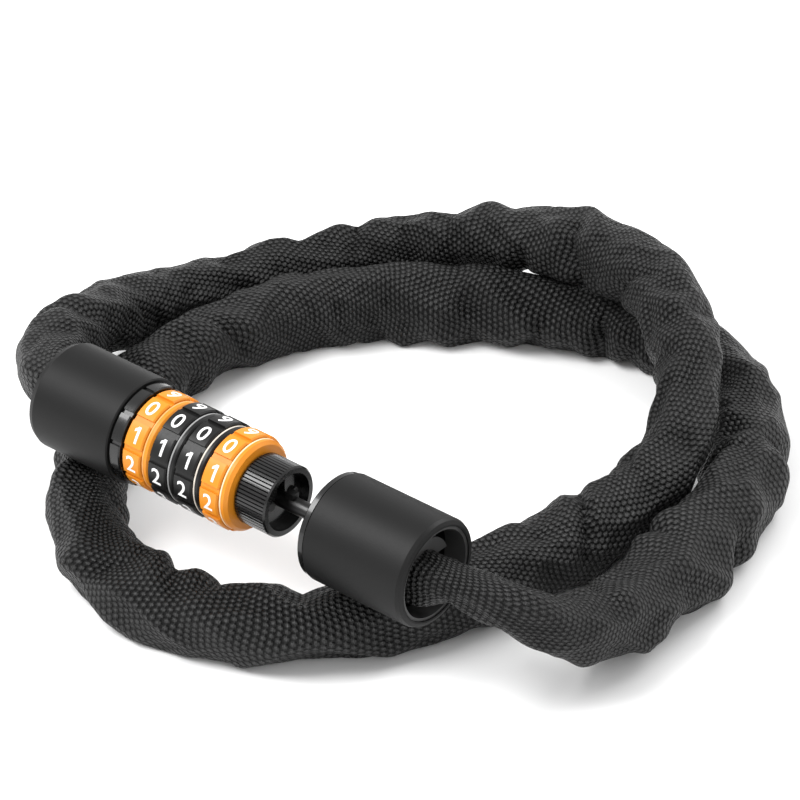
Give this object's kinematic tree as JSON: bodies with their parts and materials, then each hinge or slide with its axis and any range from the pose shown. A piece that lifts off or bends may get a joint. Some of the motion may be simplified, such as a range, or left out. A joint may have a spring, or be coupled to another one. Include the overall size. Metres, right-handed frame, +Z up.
{
  "type": "bicycle chain lock",
  "caption": "Combination chain lock: numbered dials on a round housing, a cap with a sliding locking pin, and a welded chain in a woven sleeve lying in loops.",
  "frame": {"origin": "middle of the loop on the surface that the lock lies on", "axes": "+X along the lock's axis from the housing to the cap, +Y away from the lock across the loop, +Z up"},
  "size_m": [0.2434, 0.2303, 0.0566],
  "materials": {
    "dark_paint": "matte",
    "zinc": "satin",
    "steel": "satin",
    "black_steel": "satin",
    "gloss_black": "gloss",
    "orange_dial": "satin",
    "black_dial": "satin",
    "brass": "satin",
    "woven_sleeve": "coarse weave",
    "chain_steel": "satin"
  },
  "bodies": {
    "lock": {"housing_shell": "dark_paint", "rear_insert": "zinc", "rear_anchor_pin": "steel", "housing_set_screw": "black_steel", "spindle": "zinc", "index_ring": "gloss_black", "spindle_screws": "steel", "detent_plungers": "steel", "thrust_washer": "steel", "spacer_washers": "steel", "knurled_nose": "gloss_black", "nose_insert": "gloss_black", "nose_screws": "black_steel", "sleeve": "woven_sleeve", "chain_links": "chain_steel"},
    "dial_1_body": {"dial_1": "orange_dial", "clutch_ring_1": "brass"},
    "dial_2_body": {"dial_2": "black_dial", "clutch_ring_2": "brass"},
    "dial_3_body": {"dial_3": "black_dial", "clutch_ring_3": "brass"},
    "dial_4_body": {"dial_4": "orange_dial", "clutch_ring_4": "brass"},
    "plug": {"cap_front_ring": "gloss_black", "cap_shell": "dark_paint", "cap_core": "zinc", "cap_anchor_pin": "steel", "locking_pin": "black_steel", "cap_liner": "gloss_black", "pin_collar": "black_steel", "cap_rim": "gloss_black", "sleeve_tail": "woven_sleeve", "chain_tail_links": "chain_steel"}
  },
  "joints": [
    {"name": "dial_1_turn", "type": "hinge", "parent": "lock", "child": "dial_1_body", "pos_m": [-0.0273, -0.075, 0.0396], "axis": [1, 0, 0], "continuous": true},
    {"name": "dial_2_turn", "type": "hinge", "parent": "lock", "child": "dial_2_body", "pos_m": [-0.0171, -0.075, 0.0396], "axis": [1, 0, 0], "continuous": true},
    {"name": "dial_3_turn", "type": "hinge", "parent": "lock", "child": "dial_3_body", "pos_m": [-0.0069, -0.075, 0.0396], "axis": [1, 0, 0], "continuous": true},
    {"name": "dial_4_turn", "type": "hinge", "parent": "lock", "child": "dial_4_body", "pos_m": [0.0033, -0.075, 0.0396], "axis": [1, 0, 0], "continuous": true},
    {"name": "plug_slide", "type": "slide", "parent": "lock", "child": "plug", "axis": [1, 0, 0], "range_m": [-0.0285, 0.04]}
  ]
}
